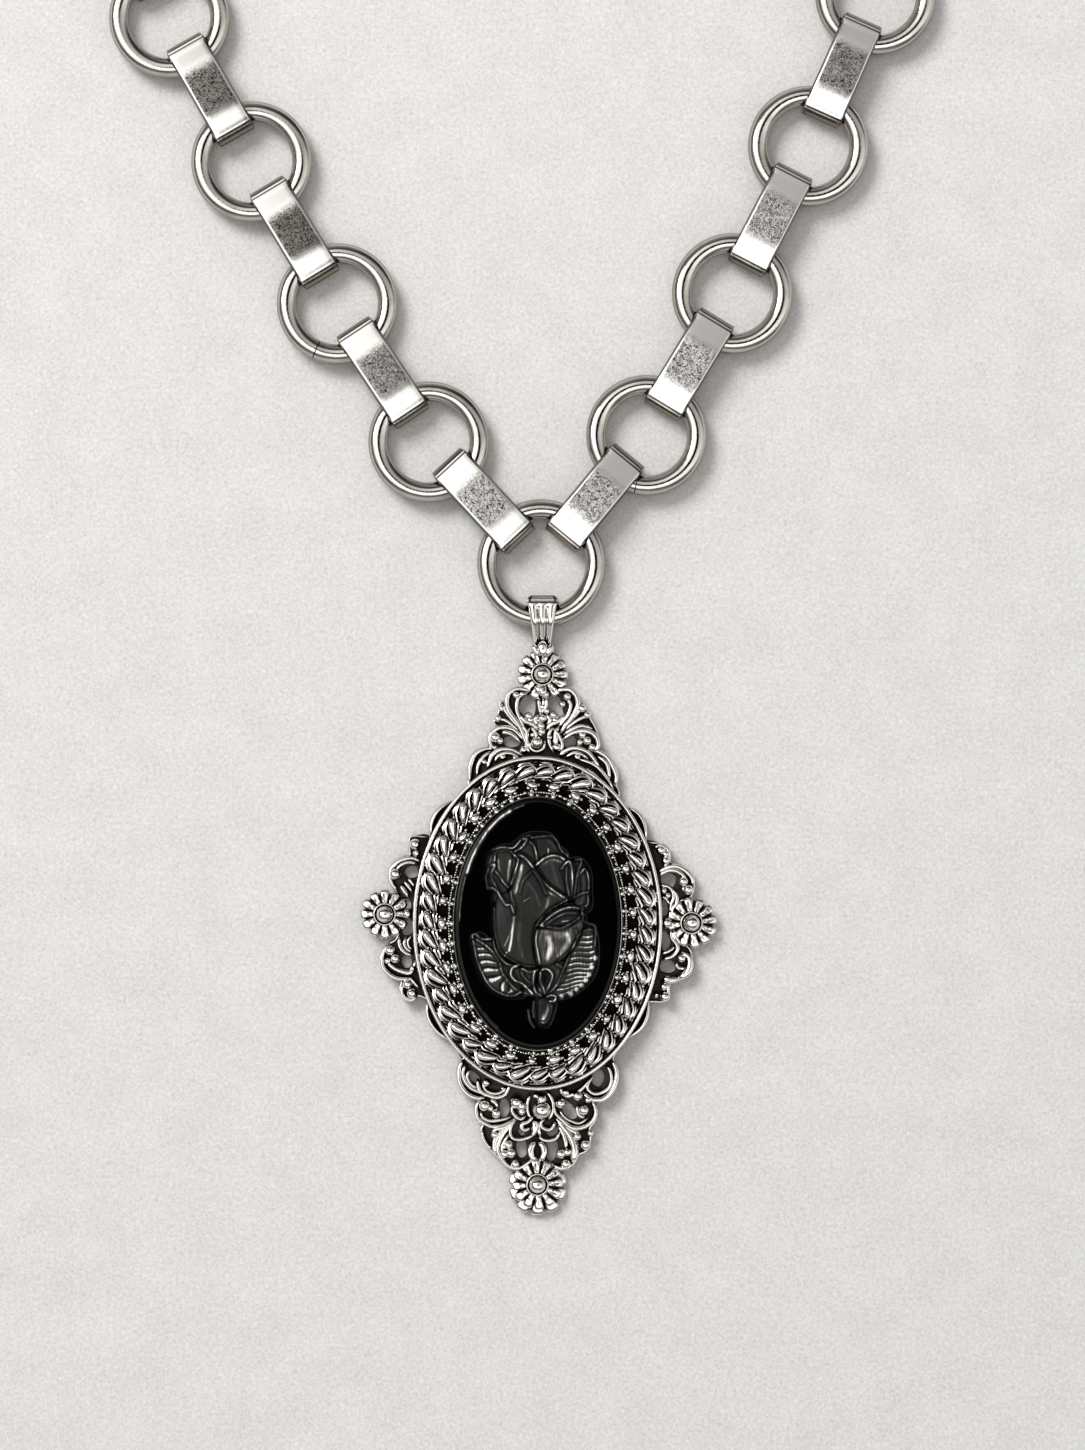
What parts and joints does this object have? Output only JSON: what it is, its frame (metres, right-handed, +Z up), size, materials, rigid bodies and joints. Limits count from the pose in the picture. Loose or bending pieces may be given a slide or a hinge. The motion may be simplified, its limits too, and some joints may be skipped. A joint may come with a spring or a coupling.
{
  "type": "cameo pendant necklace",
  "caption": "Flat strap-and-ring chain necklace with a silver-tone filigree pendant that holds a black oval cameo of a rosebud.",
  "frame": {"origin": "middle of the necklace's bounding box, on the surface that it lies on", "axes": "+Z up from the surface, +Y from the pendant towards the clasp, +X towards the right of the picture (the wearer's left)"},
  "size_m": [0.1254, 0.2536, 0.0059],
  "materials": {
    "ring_wire": "polished plated wire",
    "strap_metal": "plated strap, lightly brushed and mottled on its flats",
    "cast_metal": "antiqued silver-tone casting, dark in its recesses",
    "black_glass": "opaque black, glossy"
  },
  "bodies": {
    "root": {"centre_ring": "ring_wire", "clasp": "strap_metal", "bail": "cast_metal", "filigree_frame": "cast_metal", "oval_setting": "cast_metal", "cameo_stone": "black_glass", "ring_left_1": "ring_wire", "ring_left_2": "ring_wire", "ring_left_3": "ring_wire", "ring_left_4": "ring_wire", "ring_left_5": "ring_wire", "ring_left_6": "ring_wire", "ring_left_7": "ring_wire", "ring_left_8": "ring_wire", "ring_left_9": "ring_wire", "ring_left_10": "ring_wire", "ring_right_1": "ring_wire", "ring_right_2": "ring_wire", "ring_right_3": "ring_wire", "ring_right_4": "ring_wire", "ring_right_5": "ring_wire", "ring_right_6": "ring_wire", "ring_right_7": "ring_wire", "ring_right_8": "ring_wire", "ring_right_9": "ring_wire", "ring_right_10": "ring_wire", "strap_left_1": "strap_metal", "strap_left_2": "strap_metal", "strap_left_3": "strap_metal", "strap_left_4": "strap_metal", "strap_left_5": "strap_metal", "strap_left_6": "strap_metal", "strap_left_7": "strap_metal", "strap_left_8": "strap_metal", "strap_left_9": "strap_metal", "strap_left_10": "strap_metal", "strap_right_1": "strap_metal", "strap_right_2": "strap_metal", "strap_right_3": "strap_metal", "strap_right_4": "strap_metal", "strap_right_5": "strap_metal", "strap_right_6": "strap_metal", "strap_right_7": "strap_metal", "strap_right_8": "strap_metal", "strap_right_9": "strap_metal", "strap_right_10": "strap_metal"}
  },
  "joints": []
}
